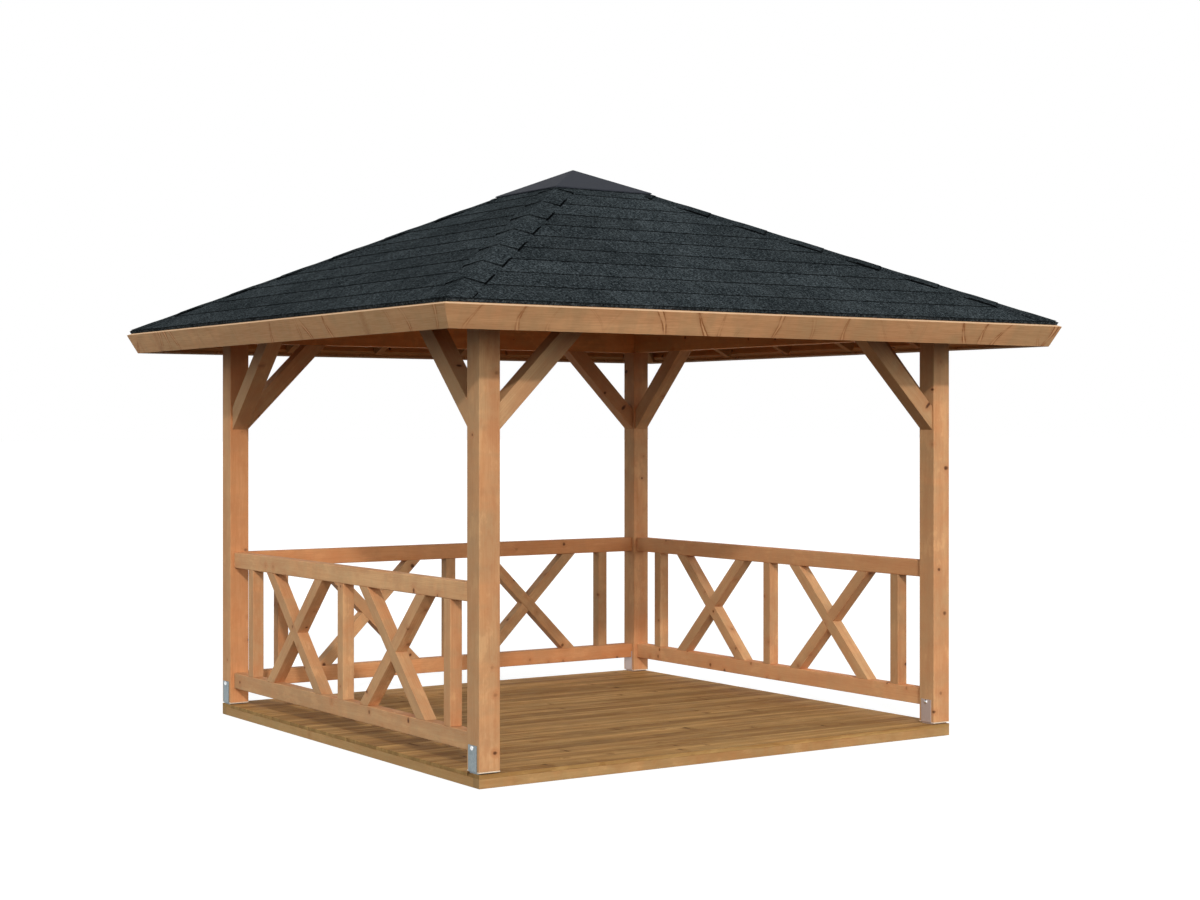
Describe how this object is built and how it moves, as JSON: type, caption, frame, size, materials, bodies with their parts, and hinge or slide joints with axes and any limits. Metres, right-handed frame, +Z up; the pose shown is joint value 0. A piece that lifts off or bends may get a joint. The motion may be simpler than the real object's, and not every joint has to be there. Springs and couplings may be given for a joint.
{
  "type": "garden gazebo",
  "caption": "Square timber garden gazebo: corner posts on steel shoes, braced open frame, railed sides with crossed bars, boarded floor and a low shingled pyramid roof.",
  "frame": {"origin": "on the ground under the middle of the square floor", "axes": "+X to the right and +Y to the back seen from the open entrance side, +Z up"},
  "size_m": [4, 4, 3.2853],
  "materials": {
    "frame_timber": "planed spruce, clear satin stain, knots",
    "roof_timber": "planed spruce, clear satin stain",
    "fascia_timber": "planed spruce board, clear satin stain, knots",
    "floor_timber": "planed spruce, pale",
    "deck_boards": "brown stained deck boards, satin",
    "roof_boards": "planed roof boards",
    "roof_shingles": "mineral-faced bitumen shingles, charcoal, matt and granular",
    "cap_metal": "slate grey coated sheet, satin",
    "galvanised_steel": "galvanised plate, dull"
  },
  "bodies": {
    "root": {"apex_cap": "cap_metal", "back_balusters": "frame_timber", "back_boarding": "roof_boards", "back_bottom_rail": "frame_timber", "back_crosses": "frame_timber", "back_fascia": "fascia_timber", "back_left_braces": "frame_timber", "back_left_post": "frame_timber", "back_rafters": "roof_timber", "back_right_braces": "frame_timber", "back_right_post": "frame_timber", "back_shingles": "roof_shingles", "back_top_rail": "frame_timber", "deck": "deck_boards", "eaves_boards": "roof_timber", "end_joists": "floor_timber", "floor_joists": "floor_timber", "front_back_plates": "frame_timber", "front_boarding": "roof_boards", "front_fascia": "fascia_timber", "front_left_braces": "frame_timber", "front_left_post": "frame_timber", "front_rafters": "roof_timber", "front_right_braces": "frame_timber", "front_right_post": "frame_timber", "front_shingles": "roof_shingles", "hip_rafters": "roof_timber", "hip_strips": "roof_shingles", "king_block": "roof_timber", "left_balusters": "frame_timber", "left_boarding": "roof_boards", "left_bottom_rail": "frame_timber", "left_crosses": "frame_timber", "left_fascia": "fascia_timber", "left_rafters": "roof_timber", "left_shingles": "roof_shingles", "left_top_rail": "frame_timber", "post_shoes": "galvanised_steel", "right_balusters": "frame_timber", "right_boarding": "roof_boards", "right_bottom_rail": "frame_timber", "right_crosses": "frame_timber", "right_fascia": "fascia_timber", "right_rafters": "roof_timber", "right_shingles": "roof_shingles", "right_top_rail": "frame_timber", "side_plates": "frame_timber"}
  },
  "joints": []
}
